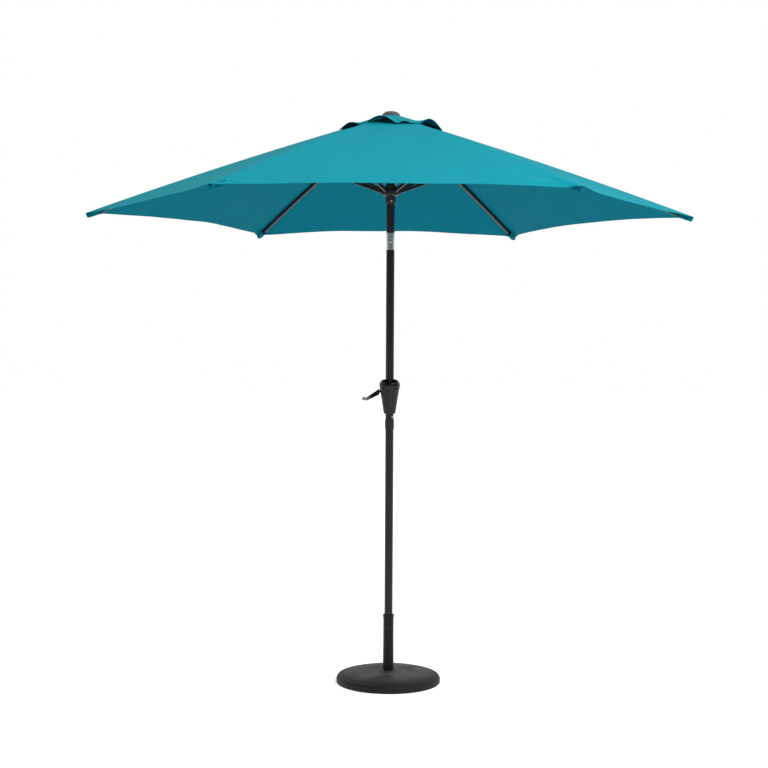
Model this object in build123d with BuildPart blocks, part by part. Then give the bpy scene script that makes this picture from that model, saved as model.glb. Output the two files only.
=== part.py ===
from build123d import *
import os
from math import atan2, cos, degrees, hypot, radians, sin, tan

# Market umbrella: six bowed ribs on a hub, a runner hoisted by a crank, a tilting
# knuckle in the pole, and a round weighted base. Millimetres, +Z up, the origin on
# the floor under the middle of the base. Rib 1 points along +X, and the canopy
# tilts towards -Y. Every piece is drawn with the canopy open and upright.

os.makedirs("parts", exist_ok=True)

# Clearances
fit_gap = 0.05  # between pieces that are seated on each other
pin_gap = 0.08  # round a pin that something turns on
slide_gap = 0.4  # round a piece that slides or turns freely
cloth_gap = 2.6  # between the cloth and the middle of a rib's flat top
layer_gap = 0.4  # between layers of cloth

# Base
base_radius = 228.0
base_rim_height = 16.0
base_shoulder_radius = 208.0
base_shoulder_height = 35.0
base_crown_radius = 150.0
base_crown_height = 49.0
base_top_height = 56.0
base_edge_break = 3.0
groove_width = 2.4
groove_depth = 1.6
tube_foot_radius = 24.0
tube_radius = 22.9
tube_wall = 2.2
tube_top = 298.0
tube_lip = 1.8
tube_lip_height = 22.0
tube_seat = 22.0
tube_floor = 8.0
band_height = 241.0
band_width = 15.0
band_depth = 0.5
bolt_radius = 5.0
bolt_head_radius = 9.5
bolt_head_height = 6.5
washer_radius = 15.0
washer_thickness = 2.0
bolt_recess_radius = 18.0
bolt_recess_depth = 12.0
collar_length = 36.0
collar_inset = 2.0
boss_radius = 9.0
boss_reach = 33.0
clamp_screw_radius = 4.0
knob_radius = 21.0
knob_thickness = 17.0
knob_standoff = 6.0
knob_lobes = 6
knob_scallop = 7.0
knob_edge = 2.5
knob_boss_gap = 1.0

# Pole
pole_radius = 18.0
pole_wall = 1.5
pole_joint_height = 1155.0
coupler_thickness = 2.0
coupler_length = 42.0
insert_wall = 1.9
insert_below = 110.0
insert_above = 85.0
snap_height = 1167.0
snap_azimuth = 307.0
snap_radius = 3.6
snap_stand = 2.6
snap_root = 1.0
snap_edge = 1.2

# Crank
crank_height = 1277.0
housing_bottom = 1180.0
housing_top = 1331.0
housing_foot_radius = 26.5
housing_shoulder_radius = 45.5
housing_shoulder_height = 1303.0
housing_neck_radius = 24.0
housing_wall = 2.6
neckline_radius = 24.0
neckline_depth = 20.0
drum_radius = 7.3
drum_half_length = 7.0
flange_radius = 12.3
flange_thickness = 1.6
axle_radius = 5.0
axle_overrun = 4.0
screw_radius = 2.0
screw_length = 34.0
screw_head_radius = 3.8
screw_head_height = 2.6
post_radius = 6.0
upper_screw = (29.0, 1291.0)
lower_screw = (22.9, 1226.0)
upper_screw_seat = 24.0
lower_screw_seat = 16.0
lever_hub_radius = 10.0
lever_hub_length = 9.0
lever_stand = 1.5
lever_slope = 30.0
lever_arm = 66.0
lever_grip = 20.0
lever_grip_rise = 12.0
lever_depth = 22.0
lever_end_depth = 16.0
lever_thickness = 12.0
lever_fork = 5.0
lever_edge = 1.2

# Tilting knuckle
tilt_height = 1932.0
knuckle_half_height = 37.0
tongue_width = 15.0
tongue_gap = 0.3
knuckle_spigot = 38.0
tilt_pin_radius = 3.5
tilt_pin_inner = 5.0
tilt_pin_inset = 0.8
cord_bore_radius = 4.0
button_radius = 6.0
button_drop = 27.0
button_length = 9.0
button_travel = 3.0
tilt_range = 30.0
tilt_relief = 32.0  # how far the front of the upper half is cut back, in degrees

# Ribs, struts and hub
rib_count = 6
hub_height = 2459.0
hinge_circle = 32.0
rib_slope = 18.1
rib_length = 1341.0
rib_bow = 12.0
rib_depth = 18.0
rib_width = 12.0
rib_wall = 1.0
rib_edge = 1.5
root_length = 26.0
tip_reach = 13.0
tip_plug = 20.0
tip_border = 1.0
plug_side_gap = 0.6
plug_bow_gap = 2.0
pin_station = 470.0
pin_drop = 22.0
pin_radius = 3.0
bracket_length = 30.0
bracket_wall = 2.0
bracket_edge = 4.0
rivet_radius = 4.8
rivet_height = 1.5
strut_depth = 15.0
strut_width = 10.0
strut_wall = 1.2
ring_wire_radius = 1.75
ring_hole_radius = 2.6
hub_radius = 40.0
hub_drop = 21.0
hub_top_drop = 3.0
hub_plate = 3.0
hub_edge = 6.0
slot_gap = 0.5
runner_radius = 40.0
runner_floor = 14.0
runner_crown = 11.0
runner_collar_top = 28.0
runner_collar_radius = 27.5
runner_sleeve_radius = 22.0
runner_sleeve_drop = 44.0
runner_tail_drop = 52.0
runner_tail_radius = 20.0
runner_edge = 6.0
runner_side = 4.0

# Hoist
cord_radius = 1.75
cord_gap = 0.25
cord_split = 1.2  # half the gap in the cord at the tilting joint
fall_start = 4.0
pulley_pitch_radius = 12.08
pulley_rim_radius = 14.6
pulley_thickness = 6.5
pulley_window_gap = 0.6
pulley_drop = 43.0
pulley_pin_radius = 2.5
hoist_azimuth = 330.0

# Canopy
cloth_thickness = 2.5
canopy_eye = 12.0
vent_opening = 150.0
hem_scoop = 80.0
hem_overhang = 4.0
panel_sag = 19.0
vent_reach = 225.0
vent_lift = 3.0
vent_arch = 18.0
vent_sag = 3.0
parting = 0.02  # degrees left open between neighbouring sectors
opening_border = 12.0
patch_reach = 38.0
finial_radius = 39.5
finial_height = 20.0
finial_bolt_radius = 4.0

# Worked out from the sizes above
pole_bore = pole_radius - pole_wall
sector = 180 / rib_count
rib_azimuths = [step * 360 / rib_count for step in range(rib_count)]


def rib_rise(station):
    """How far the bowed rib's middle stands above the straight line through its ends."""
    share = station / rib_length
    return 4 * rib_bow * share * (1 - share)


pin_offset = rib_rise(pin_station) - pin_drop
strut_length = hypot(pin_station, pin_offset)
strut_slope = rib_slope - degrees(atan2(pin_offset, pin_station))
runner_height = hub_height - 2 * strut_length * sin(radians(strut_slope))
hub_top = hub_height + rib_depth / 2 - hub_top_drop
pulley_height = hub_height - pulley_drop
cord_offset = drum_radius + cord_radius + cord_gap
insert_radius = pole_bore - fit_gap

side_view = Plane.XZ
rib_plane = Plane(
    origin=(hinge_circle, 0, hub_height),
    x_dir=(cos(radians(rib_slope)), 0, -sin(radians(rib_slope))),
    z_dir=(0, -1, 0),
)


def radial_plane(azimuth):
    """The upright plane through the pole's axis; local X runs outwards, local Y up."""
    turn = radians(azimuth)
    return Plane(origin=(0, 0, 0), x_dir=(cos(turn), sin(turn), 0), z_dir=(sin(turn), -cos(turn), 0))


def outward_plane(azimuth, reach, height):
    """A plane that faces outwards from the pole at one height, its local Y up."""
    turn = radians(azimuth)
    return Plane(
        origin=(reach * cos(turn), reach * sin(turn), height),
        x_dir=(-sin(turn), cos(turn), 0),
        z_dir=(cos(turn), sin(turn), 0),
    )


def save(piece, name):
    """Labels one finished piece and writes it."""
    piece.label = name
    export_step(piece, f"parts/{name}.step")


def save_ring(piece, name):
    """Writes one copy of a piece for each rib, numbered from the +X rib."""
    for number, azimuth in enumerate(rib_azimuths, 1):
        save(piece.rotate(Axis.Z, azimuth), f"{name}_{number}")


# ---------------------------------------------------------------- base

with BuildPart() as base_weight:
    with BuildSketch(side_view):
        with BuildLine():
            floor = Line((0, 0), (base_radius - base_edge_break, 0))
            foot = Line(floor @ 1, (base_radius, base_edge_break))
            rim = Line(foot @ 1, (base_radius, base_rim_height))
            shoulder = EllipticalCenterArc(
                (base_shoulder_radius, base_rim_height),
                base_radius - base_shoulder_radius,
                base_shoulder_height - base_rim_height,
                start_angle=0,
                arc_size=90,
            )
            crown = Spline(
                shoulder @ 1,
                (base_crown_radius, base_crown_height),
                (0, base_top_height),
                tangents=[(-1, 0.35), (-1, 0)],
            )
            Line(crown @ 1, (0, 0))
        make_face()
    revolve(axis=Axis.Z)
    with BuildSketch(Plane.XY.offset(base_shoulder_height - groove_depth)):
        Circle(base_shoulder_radius - groove_width)
        Circle(base_shoulder_radius - 2 * groove_width, mode=Mode.SUBTRACT)
    extrude(amount=base_top_height, mode=Mode.SUBTRACT)
    with BuildSketch(Plane.XY.offset(tube_seat)):
        Circle(tube_foot_radius + fit_gap)
    extrude(amount=base_top_height, mode=Mode.SUBTRACT)
    with BuildSketch(Plane.XY):
        Circle(bolt_radius + slide_gap)
    extrude(amount=base_top_height, mode=Mode.SUBTRACT)
    with BuildSketch(Plane.XY):
        Circle(bolt_recess_radius)
    extrude(amount=bolt_recess_depth, mode=Mode.SUBTRACT)
save(base_weight.part, "base_weight")

with BuildPart() as base_tube:
    with BuildSketch(side_view):
        with BuildLine():
            Polyline(
                (bolt_radius + fit_gap, tube_seat),
                (tube_foot_radius, tube_seat),
                (tube_foot_radius, base_top_height),
                (tube_radius, base_top_height + (tube_top - base_top_height) / 2),
                (tube_radius, tube_top - tube_lip_height),
                (tube_radius + tube_lip, tube_top),
                (tube_radius - tube_wall, tube_top),
                (tube_radius - tube_wall, tube_seat + tube_floor),
                (bolt_radius + fit_gap, tube_seat + tube_floor),
                close=True,
            )
        make_face()
    revolve(axis=Axis.Z)
    for side in (-1, 1):
        with BuildSketch(Plane.XY.offset(band_height + side * band_width / 2 - band_depth)):
            Circle(tube_radius + tube_wall)
            Circle(tube_radius - band_depth, mode=Mode.SUBTRACT)
        extrude(amount=2 * band_depth, mode=Mode.SUBTRACT)
    with BuildSketch(outward_plane(90, tube_radius - tube_wall / 2, band_height)):
        Circle(boss_radius)
    extrude(amount=boss_reach - tube_radius + tube_wall / 2)
    with BuildSketch(outward_plane(90, 0, band_height)):
        Circle(clamp_screw_radius + pin_gap)
    extrude(amount=2 * boss_reach, mode=Mode.SUBTRACT)
save(base_tube.part, "base_tube")

with BuildPart() as base_bolt:
    head_top = bolt_recess_depth - washer_thickness - fit_gap
    with BuildSketch(Plane.XY.offset(head_top - bolt_head_height)):
        RegularPolygon(bolt_head_radius, 6)
    extrude(amount=bolt_head_height)
    with BuildSketch(Plane.XY.offset(head_top)):
        Circle(washer_radius)
    extrude(amount=washer_thickness)
    with BuildSketch(Plane.XY.offset(head_top)):
        Circle(bolt_radius)
    extrude(amount=tube_seat + tube_floor - head_top)
save(base_bolt.part, "base_bolt")

with BuildPart() as tube_collar:
    with BuildSketch(Plane.XY.offset(tube_top - collar_inset - collar_length)):
        Circle(tube_radius - tube_wall - fit_gap)
        Circle(pole_radius + slide_gap, mode=Mode.SUBTRACT)
    extrude(amount=collar_length)
    chamfer(tube_collar.edges().sort_by(Axis.Z)[-2:].sort_by(SortBy.RADIUS)[:1], slide_gap)
save(tube_collar.part, "tube_collar")

with BuildPart() as clamp_knob:
    with BuildSketch(outward_plane(90, pole_radius + slide_gap / 2, band_height)):
        Circle(clamp_screw_radius)
    extrude(amount=boss_reach + knob_standoff - pole_radius)
    with BuildSketch(outward_plane(90, boss_reach + knob_standoff, band_height)):
        Circle(knob_radius)
        with PolarLocations(knob_radius + knob_scallop / 2, knob_lobes):
            Circle(knob_scallop, mode=Mode.SUBTRACT)
    extrude(amount=knob_thickness)
    fillet(clamp_knob.faces().sort_by(Axis.Y)[-1].edges(), knob_edge)
    with BuildSketch(outward_plane(90, boss_reach + knob_boss_gap, band_height)):
        Circle(boss_radius)
    extrude(amount=knob_standoff)
save(clamp_knob.part, "clamp_knob")

# ---------------------------------------------------------------- pole

pole_foot = tube_seat + tube_floor + slide_gap

with BuildPart() as lower_pole:
    with BuildSketch(Plane.XY.offset(pole_foot)):
        Circle(pole_radius)
        Circle(pole_bore, mode=Mode.SUBTRACT)
    extrude(amount=pole_joint_height - pole_foot)
save(lower_pole.part, "lower_pole")

with BuildPart() as pole_coupler:
    coupler_taper = 3 * coupler_thickness
    with BuildSketch(side_view):
        with BuildLine():
            Polyline(
                (pole_radius + fit_gap, pole_joint_height - coupler_length),
                (pole_radius + coupler_thickness / 2, pole_joint_height - coupler_length),
                (pole_radius + coupler_thickness, pole_joint_height - coupler_length + coupler_taper),
                (pole_radius + coupler_thickness, pole_joint_height - coupler_taper),
                (pole_radius + coupler_thickness / 2, pole_joint_height),
                (pole_radius + fit_gap, pole_joint_height),
                close=True,
            )
        make_face()
    revolve(axis=Axis.Z)
save(pole_coupler.part, "pole_coupler")

with BuildPart() as pole_insert:
    with BuildSketch(Plane.XY.offset(pole_joint_height - insert_below)):
        Circle(insert_radius)
        Circle(insert_radius - insert_wall, mode=Mode.SUBTRACT)
    extrude(amount=insert_below + insert_above)
    with BuildSketch(outward_plane(snap_azimuth, 0, snap_height)):
        Circle(snap_radius + pin_gap)
    extrude(amount=2 * pole_radius, mode=Mode.SUBTRACT)
save(pole_insert.part, "pole_insert")

with BuildPart() as mid_pole:
    with BuildSketch(Plane.XY.offset(pole_joint_height + fit_gap)):
        Circle(pole_radius)
        Circle(pole_bore, mode=Mode.SUBTRACT)
    extrude(amount=tilt_height - knuckle_half_height - pole_joint_height - 2 * fit_gap)
    with BuildSketch(outward_plane(snap_azimuth, 0, snap_height)):
        Circle(snap_radius + pin_gap)
    extrude(amount=2 * pole_radius, mode=Mode.SUBTRACT)
    with BuildSketch(Plane.YZ.offset(-pole_radius - 1)):
        with Locations((0, crank_height)):
            Circle(axle_radius + pin_gap)
    extrude(amount=2 * pole_radius + 2, mode=Mode.SUBTRACT)
    with BuildSketch(Plane.YZ):
        with Locations((0, crank_height)):
            Circle(flange_radius + slide_gap)
    extrude(amount=drum_half_length + flange_thickness + slide_gap, both=True, mode=Mode.SUBTRACT)
save(mid_pole.part, "mid_pole")

with BuildPart() as snap_button:
    with BuildSketch(outward_plane(snap_azimuth, insert_radius - insert_wall - snap_root, snap_height)):
        Circle(snap_radius)
    extrude(amount=pole_radius + snap_stand - insert_radius + insert_wall + snap_root)
    fillet(snap_button.faces().sort_by_distance((0, 0, snap_height))[-1].edges(), snap_edge)
save(snap_button.part, "snap_button")

# ---------------------------------------------------------------- crank

inner_foot = housing_bottom + 4 * housing_wall
lever_hub_top = crank_height + lever_hub_radius
side_share = (lever_hub_top - housing_bottom) / (housing_shoulder_height - housing_bottom)
housing_side = housing_foot_radius + (housing_shoulder_radius - housing_foot_radius) * side_share
lever_side = housing_side + lever_stand
post_places = [(side * x, z) for x, z in (upper_screw, lower_screw) for side in (-1, 1)]
seat_depths = [upper_screw_seat, upper_screw_seat, lower_screw_seat, lower_screw_seat]

with BuildSketch(side_view) as housing_outline:
    with BuildLine():
        outer_wall = Polyline(
            (0, housing_bottom),
            (housing_foot_radius - housing_wall, housing_bottom),
            (housing_foot_radius, housing_bottom + 2 * housing_wall),
            (housing_shoulder_radius, housing_shoulder_height),
        )
        outer_shoulder = EllipticalCenterArc(
            (housing_neck_radius, housing_shoulder_height),
            housing_shoulder_radius - housing_neck_radius,
            housing_top - housing_shoulder_height,
            start_angle=0,
            arc_size=90,
        )
        Polyline(outer_shoulder @ 1, (0, housing_top), (0, housing_bottom))
    make_face()

with BuildSketch(side_view) as housing_hollow:
    with BuildLine():
        Polyline(
            (pole_radius + fit_gap, housing_top - housing_wall),
            (pole_radius + fit_gap, inner_foot),
            (housing_foot_radius - housing_wall, inner_foot),
            (housing_shoulder_radius - housing_wall, housing_shoulder_height),
        )
        inner_shoulder = EllipticalCenterArc(
            (housing_neck_radius, housing_shoulder_height),
            housing_shoulder_radius - housing_wall - housing_neck_radius,
            housing_top - housing_wall - housing_shoulder_height,
            start_angle=0,
            arc_size=90,
        )
        Line(inner_shoulder @ 1, (pole_radius + fit_gap, housing_top - housing_wall))
    make_face()

with BuildPart() as screw_posts:
    revolve(housing_outline.sketch, axis=Axis.Z)
    with BuildSketch(side_view):
        with Locations(*post_places):
            Circle(post_radius)
    extrude(amount=housing_shoulder_radius, both=True, mode=Mode.INTERSECT)

with BuildPart() as crank_housing:
    revolve(housing_outline.sketch, axis=Axis.Z)
    revolve(housing_hollow.sketch, axis=Axis.Z, mode=Mode.SUBTRACT)
    add(screw_posts.part)
    with BuildSketch(Plane.XY.offset(housing_bottom)):
        Circle(pole_radius + fit_gap)
    extrude(amount=housing_top - housing_bottom, mode=Mode.SUBTRACT)
    with BuildSketch(Plane.XZ.offset(pole_radius)):
        with Locations((0, housing_top)):
            Ellipse(neckline_radius, neckline_depth)
    extrude(amount=housing_shoulder_radius, mode=Mode.SUBTRACT)
    with BuildSketch(Plane.YZ.offset(-housing_shoulder_radius)):
        with Locations((0, crank_height)):
            Circle(axle_radius + pin_gap)
    extrude(amount=housing_shoulder_radius, mode=Mode.SUBTRACT)
    for place, depth in zip(post_places, seat_depths):
        with BuildSketch(Plane.XZ.offset(depth)):
            with Locations(place):
                Circle(screw_head_radius + pin_gap)
        extrude(amount=housing_shoulder_radius, mode=Mode.SUBTRACT)
        with BuildSketch(Plane.XZ.offset(depth - screw_length)):
            with Locations(place):
                Circle(screw_radius + fit_gap)
        extrude(amount=screw_length, mode=Mode.SUBTRACT)

with BuildPart() as crank_housing_front:
    add(crank_housing.part)
    split(bisect_by=Plane.XZ.offset(fit_gap / 2), keep=Keep.TOP)
with BuildPart() as crank_housing_back:
    add(crank_housing.part)
    split(bisect_by=Plane.XZ.offset(-fit_gap / 2), keep=Keep.BOTTOM)
save(crank_housing_front.part, "crank_housing_front")
save(crank_housing_back.part, "crank_housing_back")

with BuildPart() as housing_screws:
    for place, depth in zip(post_places, seat_depths):
        with BuildSketch(Plane.XZ.offset(depth - screw_length + 1)):
            with Locations(place):
                Circle(screw_radius)
        extrude(amount=screw_length - 1)
        with BuildSketch(Plane.XZ.offset(depth)):
            with Locations(place):
                Circle(screw_head_radius)
        extrude(amount=screw_head_height)
save(housing_screws.part, "housing_screws")

with BuildPart() as crank_spool:
    axle_start = -lever_side - lever_hub_length / 2
    with BuildSketch(Plane.YZ.offset(axle_start)):
        with Locations((0, crank_height)):
            Circle(axle_radius)
    extrude(amount=pole_radius + axle_overrun - axle_start)
    with BuildSketch(Plane.YZ):
        with Locations((0, crank_height)):
            Circle(flange_radius)
    extrude(amount=drum_half_length + flange_thickness, both=True)
    with BuildSketch(Plane.YZ):
        with Locations((0, crank_height)):
            Circle(flange_radius + 1)
            Circle(drum_radius, mode=Mode.SUBTRACT)
    extrude(amount=drum_half_length, both=True, mode=Mode.SUBTRACT)
save(crank_spool.part, "crank_spool")

lever_root = Vector(-lever_side, crank_height)
arm_run = Vector(-cos(radians(lever_slope)), -sin(radians(lever_slope)))
grip_run = Vector(-cos(radians(lever_grip_rise)), sin(radians(lever_grip_rise)))
arm_side = Vector(arm_run.Y, -arm_run.X)
grip_side = Vector(grip_run.Y, -grip_run.X)
lever_elbow = lever_root + arm_run * lever_arm
lever_tip = lever_elbow + grip_run * lever_grip

with BuildPart() as crank_lever:
    with BuildSketch(side_view):
        with BuildLine():
            Polyline(
                lever_root + (0, lever_hub_radius),
                lever_root + (-lever_hub_length / 2, lever_hub_radius),
                lever_elbow + (arm_side + grip_side) * (lever_end_depth / 4),
                lever_tip + grip_side * (lever_end_depth / 2),
                lever_tip - grip_side * (lever_end_depth / 2),
                lever_elbow - (arm_side + grip_side) * (lever_end_depth / 4),
                lever_root + arm_run * lever_hub_length - arm_side * (lever_depth / 2),
                lever_root - (0, lever_hub_radius),
                close=True,
            )
        make_face()
        with Locations(lever_tip + grip_run * (lever_fork / 2)):
            Circle(lever_fork, mode=Mode.SUBTRACT)
    extrude(amount=lever_thickness / 2, both=True)
    fillet(crank_lever.edges().filter_by(Axis.Y).sort_by(Axis.X)[:4], lever_edge)
    with BuildSketch(Plane.YZ.offset(lever_root.X - lever_hub_length)):
        with Locations((0, crank_height)):
            Circle(lever_hub_radius)
    extrude(amount=lever_hub_length)
    with BuildSketch(Plane.YZ.offset(axle_start - fit_gap)):
        with Locations((0, crank_height)):
            Circle(axle_radius + fit_gap)
    extrude(amount=lever_hub_length, mode=Mode.SUBTRACT)
save(crank_lever.part, "crank_lever")

# ---------------------------------------------------------------- tilting knuckle

knuckle_bottom = tilt_height - knuckle_half_height
knuckle_top = tilt_height + knuckle_half_height


def round_end(radius, end):
    """The knuckle seen from the side: a straight-sided half with a round end at the pivot."""
    with BuildSketch(Plane.YZ) as outline:
        with Locations((0, tilt_height)):
            Circle(radius)
        with Locations((0, (tilt_height + end) / 2)):
            Rectangle(2 * radius, abs(end - tilt_height))
    return outline.sketch


with BuildPart() as tilt_lower:
    with BuildSketch(Plane.XY.offset(knuckle_bottom)):
        Circle(pole_radius)
    extrude(amount=knuckle_half_height + pole_radius)
    extrude(round_end(pole_radius, knuckle_bottom), amount=pole_radius, both=True, mode=Mode.INTERSECT)
    extrude(
        round_end(pole_radius + tongue_gap, knuckle_top),
        amount=tongue_width / 2 + tongue_gap,
        both=True,
        mode=Mode.SUBTRACT,
    )
    with BuildSketch(Plane.XY.offset(knuckle_bottom - knuckle_spigot)):
        Circle(insert_radius)
    extrude(amount=knuckle_spigot)
    with BuildSketch(Plane.XY.offset(knuckle_bottom - knuckle_spigot)):
        Circle(cord_bore_radius)
    extrude(amount=2 * knuckle_half_height + knuckle_spigot, mode=Mode.SUBTRACT)
    with BuildSketch(Plane.YZ):
        with Locations((0, tilt_height)):
            Circle(tilt_pin_radius + fit_gap)
    extrude(amount=pole_radius, both=True, mode=Mode.SUBTRACT)
    button_floor = pole_radius - button_length - button_travel - slide_gap
    with BuildSketch(outward_plane(90, button_floor, tilt_height - button_drop)):
        Circle(button_radius + pin_gap)
    extrude(amount=pole_radius, mode=Mode.SUBTRACT)
save(tilt_lower.part, "tilt_lower")

with BuildPart() as tilt_upper:
    with BuildSketch(Plane.XY.offset(tilt_height - pole_radius)):
        Circle(pole_radius)
    extrude(amount=knuckle_half_height + pole_radius)
    extrude(round_end(pole_radius, knuckle_top), amount=pole_radius, both=True, mode=Mode.INTERSECT)
    for side in (-1, 1):
        with BuildSketch(Plane.YZ.offset(side * tongue_width / 2)):
            with Locations((0, tilt_height)):
                Circle(pole_radius + tongue_gap)
        extrude(amount=side * pole_radius, mode=Mode.SUBTRACT)
    with BuildSketch(Plane.YZ):
        with BuildLine():
            reach = 2 * pole_radius
            Polyline(
                (0, tilt_height),
                (-reach, tilt_height - reach),
                (-reach, tilt_height + reach * tan(radians(tilt_relief))),
                close=True,
            )
        make_face()
        with Locations((0, tilt_height)):
            Circle(pole_radius, mode=Mode.SUBTRACT)
    extrude(amount=pole_radius, both=True, mode=Mode.SUBTRACT)
    with BuildSketch(Plane.XY.offset(knuckle_top)):
        Circle(insert_radius)
    extrude(amount=knuckle_spigot)
    with BuildSketch(Plane.XY.offset(tilt_height - pole_radius)):
        Circle(cord_bore_radius)
    extrude(amount=2 * knuckle_half_height + knuckle_spigot, mode=Mode.SUBTRACT)
    with BuildSketch(Plane.YZ):
        with Locations((0, tilt_height)):
            Circle(tilt_pin_radius + pin_gap)
    extrude(amount=pole_radius, both=True, mode=Mode.SUBTRACT)
    with BuildSketch(Plane.YZ):
        with BuildLine():
            swing = radians(tilt_range)
            slot_side = -cord_bore_radius / cos(swing)
            slot_drop = 2 * pole_radius
            Polyline(
                (cord_bore_radius, tilt_height),
                (cord_bore_radius, tilt_height - slot_drop),
                (slot_side - slot_drop * tan(swing), tilt_height - slot_drop),
                (slot_side, tilt_height),
                close=True,
            )
        make_face()
    extrude(amount=cord_bore_radius, both=True, mode=Mode.SUBTRACT)
save(tilt_upper.part, "tilt_upper")

with BuildPart() as tilt_pins:
    for side in (-1, 1):
        with BuildSketch(Plane.YZ.offset(side * tilt_pin_inner)):
            with Locations((0, tilt_height)):
                Circle(tilt_pin_radius)
        extrude(amount=side * (pole_radius - tilt_pin_inset - tilt_pin_inner))
save(tilt_pins.part, "tilt_pins")

with BuildPart() as tilt_button:
    with BuildSketch(outward_plane(90, pole_radius - button_length, tilt_height - button_drop)):
        Circle(button_radius)
    extrude(amount=button_length)
    with BuildSketch(Plane.XY.offset(knuckle_bottom)):
        Circle(pole_radius - pin_gap)
    extrude(amount=knuckle_half_height, mode=Mode.INTERSECT)
save(tilt_button.part, "tilt_button")

# ---------------------------------------------------------------- top pole and hub

with BuildPart() as top_pole:
    with BuildSketch(Plane.XY.offset(knuckle_top + fit_gap)):
        Circle(pole_radius)
        Circle(pole_bore, mode=Mode.SUBTRACT)
    extrude(amount=hub_top - hub_plate - knuckle_top - 2 * fit_gap)
    with BuildSketch(outward_plane(hoist_azimuth, 0, pulley_height)):
        Rectangle(pulley_thickness + 2 * pulley_window_gap, 2 * (pulley_rim_radius + pulley_window_gap))
    extrude(amount=2 * pole_radius, mode=Mode.SUBTRACT)
    with BuildSketch(radial_plane(hoist_azimuth)):
        with Locations((pulley_pitch_radius, pulley_height)):
            Circle(pulley_pin_radius + fit_gap)
    extrude(amount=pole_radius, both=True, mode=Mode.SUBTRACT)
save(top_pole.part, "top_pole")

with BuildPart() as top_hub:
    with BuildSketch(side_view):
        with BuildLine():
            Polyline(
                (0, hub_height - hub_drop / 2),
                (insert_radius, hub_height - hub_drop / 2),
                (insert_radius, hub_top - hub_plate),
                (pole_radius + fit_gap, hub_top - hub_plate),
                (pole_radius + fit_gap, hub_height - hub_drop),
                (hub_radius - hub_edge, hub_height - hub_drop),
                (hub_radius, hub_height - hub_drop + hub_edge),
                (hub_radius, hub_top - hub_edge),
                (hub_radius - hub_edge, hub_top),
                (0, hub_top),
                close=True,
            )
        make_face()
    revolve(axis=Axis.Z)
    with BuildSketch(Plane.XY.offset(hub_height - hub_drop)):
        with PolarLocations(hub_radius, rib_count):
            Rectangle(
                2 * (hub_radius - hinge_circle + rib_depth / 2 + slot_gap),
                rib_width + 2 * slot_gap,
            )
    extrude(amount=2 * hub_drop, mode=Mode.SUBTRACT)
    with Locations((0, 0, hub_height)):
        Torus(hinge_circle, ring_wire_radius + fit_gap, mode=Mode.SUBTRACT)
    with BuildSketch(Plane.XY.offset(hub_height - hub_drop)):
        Circle(finial_bolt_radius + fit_gap)
    extrude(amount=2 * hub_drop, mode=Mode.SUBTRACT)
save(top_hub.part, "top_hub")

with BuildPart() as hub_ring:
    with Locations((0, 0, hub_height)):
        Torus(hinge_circle, ring_wire_radius)
save(hub_ring.part, "hub_ring")

# ---------------------------------------------------------------- hoist

hoist_plane = radial_plane(hoist_azimuth)
pulley_centre = (pulley_pitch_radius, pulley_height)

with BuildPart() as pulley:
    with BuildSketch(hoist_plane):
        with Locations(pulley_centre):
            Circle(pulley_rim_radius)
            Circle(pulley_pin_radius + pin_gap, mode=Mode.SUBTRACT)
    extrude(amount=pulley_thickness / 2, both=True)
    with BuildSketch(hoist_plane):
        with Locations(pulley_centre):
            Circle(2 * pulley_rim_radius)
            Circle(pulley_pitch_radius, mode=Mode.SUBTRACT)
    extrude(amount=cord_radius + cord_gap, both=True, mode=Mode.SUBTRACT)
    with Locations(Plane(hoist_plane.from_local_coords(pulley_centre), z_dir=hoist_plane.z_dir)):
        Torus(pulley_pitch_radius, cord_radius + cord_gap, mode=Mode.SUBTRACT)
save(pulley.part, "pulley")

with BuildPart() as pulley_axle:
    with BuildSketch(hoist_plane):
        with Locations(pulley_centre):
            Circle(pulley_pin_radius)
    extrude(amount=(pole_radius**2 - (pulley_pitch_radius + pulley_pin_radius) ** 2) ** 0.5, both=True)
save(pulley_axle.part, "pulley_axle")

fall_top = pulley_height - fall_start
runner_top = runner_height + runner_collar_top

with BuildPart() as lift_cord_lower:
    with BuildLine():
        rise = Polyline(
            (0, -cord_offset, crank_height),
            (0, 0, tilt_height - knuckle_half_height - knuckle_spigot - 2 * cord_bore_radius),
            (0, 0, tilt_height - cord_split),
        )
    with BuildSketch(Plane(origin=rise @ 0, z_dir=rise % 0)):
        Circle(cord_radius)
    sweep(transition=Transition.ROUND)
save(lift_cord_lower.part, "lift_cord_lower")

with BuildPart() as lift_cord_upper:
    with BuildLine(hoist_plane):
        climb = Line((0, tilt_height + cord_split), (0, pulley_height))
        over = CenterArc(pulley_centre, pulley_pitch_radius, 180, -180)
        drop = Line(over @ 1, (2 * pulley_pitch_radius, fall_top))
    with BuildSketch(Plane.XY.offset(tilt_height + cord_split)):
        Circle(cord_radius)
    sweep()
save(lift_cord_upper.part, "lift_cord_upper")

with BuildPart() as lift_cord_fall:
    with BuildSketch(Plane.XY.offset(runner_top + fit_gap)):
        with PolarLocations(2 * pulley_pitch_radius, 1, start_angle=hoist_azimuth):
            Circle(cord_radius)
    extrude(amount=fall_top - fit_gap - runner_top - fit_gap)
save(lift_cord_fall.part, "lift_cord_fall")

# ---------------------------------------------------------------- runner

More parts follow.
